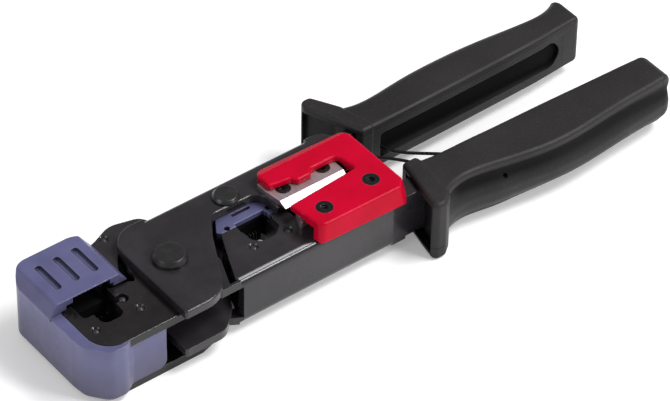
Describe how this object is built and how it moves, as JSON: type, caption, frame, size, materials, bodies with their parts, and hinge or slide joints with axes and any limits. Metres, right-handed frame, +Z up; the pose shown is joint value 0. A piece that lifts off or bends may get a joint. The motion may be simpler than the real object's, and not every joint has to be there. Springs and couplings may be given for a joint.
{
  "type": "modular plug crimping tool",
  "caption": "Plier-type crimping tool for modular plugs, with a capped nose die, a smaller middle die, a guarded cable cutter and sleeved handles.",
  "frame": {"origin": "middle of the footprint, on the plane the tool lies on", "axes": "+X from the nose towards the handle ends, +Y towards the handle of the lever that carries the nose, +Z up out of the face with the blade guard"},
  "size_m": [0.2046, 0.0599, 0.0266],
  "materials": {
    "black_steel": "satin black stove finish over sheet steel",
    "nest_black": "matte black moulding",
    "cap_plastic": "satin slate-violet moulding",
    "pin_steel": "darkened steel",
    "rivet_steel": "black, worn at the rim",
    "bush_steel": "black oxide",
    "blade_steel": "ground bright",
    "screw_black": "black oxide",
    "grip_plastic": "fine matte texture",
    "guard_plastic": "glossy red moulding",
    "spring_steel": "dark music wire"
  },
  "bodies": {
    "lever_u": {"lever_u_channel": "black_steel", "nose_plate_top": "black_steel", "nose_plate_bottom": "black_steel", "nose_nest": "nest_black", "nose_cap": "cap_plastic", "nose_pins": "pin_steel", "pivot_rivet": "rivet_steel", "pivot_bush": "bush_steel", "stud_rivet": "rivet_steel", "ram_stop": "bush_steel", "cutter_blade": "blade_steel", "blade_screws": "screw_black", "grip_upper": "grip_plastic", "return_spring": "spring_steel"},
    "lever_r": {"lever_r_channel": "black_steel", "jaw_driver": "bush_steel", "jaw_spacer": "bush_steel", "jaw_pins": "pin_steel", "nest_6p": "cap_plastic", "nest_pins": "pin_steel", "counter_blade": "blade_steel", "blade_guard": "guard_plastic", "guard_screws": "screw_black", "grip_lower": "grip_plastic"},
    "ram_8p_body": {"ram_8p": "nest_black", "ram_8p_teeth": "pin_steel"},
    "ram_6p_body": {"ram_6p": "nest_black", "ram_6p_teeth": "pin_steel"}
  },
  "joints": [
    {"name": "handle_hinge", "type": "hinge", "parent": "lever_u", "child": "lever_r", "pos_m": [-0.0631, -0.0036, 0.0115], "axis": [0, 0, 1], "range_deg": [0, 6], "stiffness_Nm_per_rad": 0.6, "springref_deg": -11.46, "deforming": ["return_spring"]},
    {"name": "ram_8p_slide", "type": "slide", "parent": "lever_u", "child": "ram_8p_body", "axis": [0, -1, 0], "range_m": [0, 0.0028]},
    {"name": "ram_6p_slide", "type": "slide", "parent": "lever_r", "child": "ram_6p_body", "axis": [0, -1, 0], "range_m": [0, 0.0031]}
  ],
  "couplings": [
    {"joint": "ram_8p_slide", "follows": "handle_hinge", "m_per_rad": 0.026},
    {"joint": "ram_6p_slide", "follows": "handle_hinge", "m_per_rad": 0.029}
  ]
}
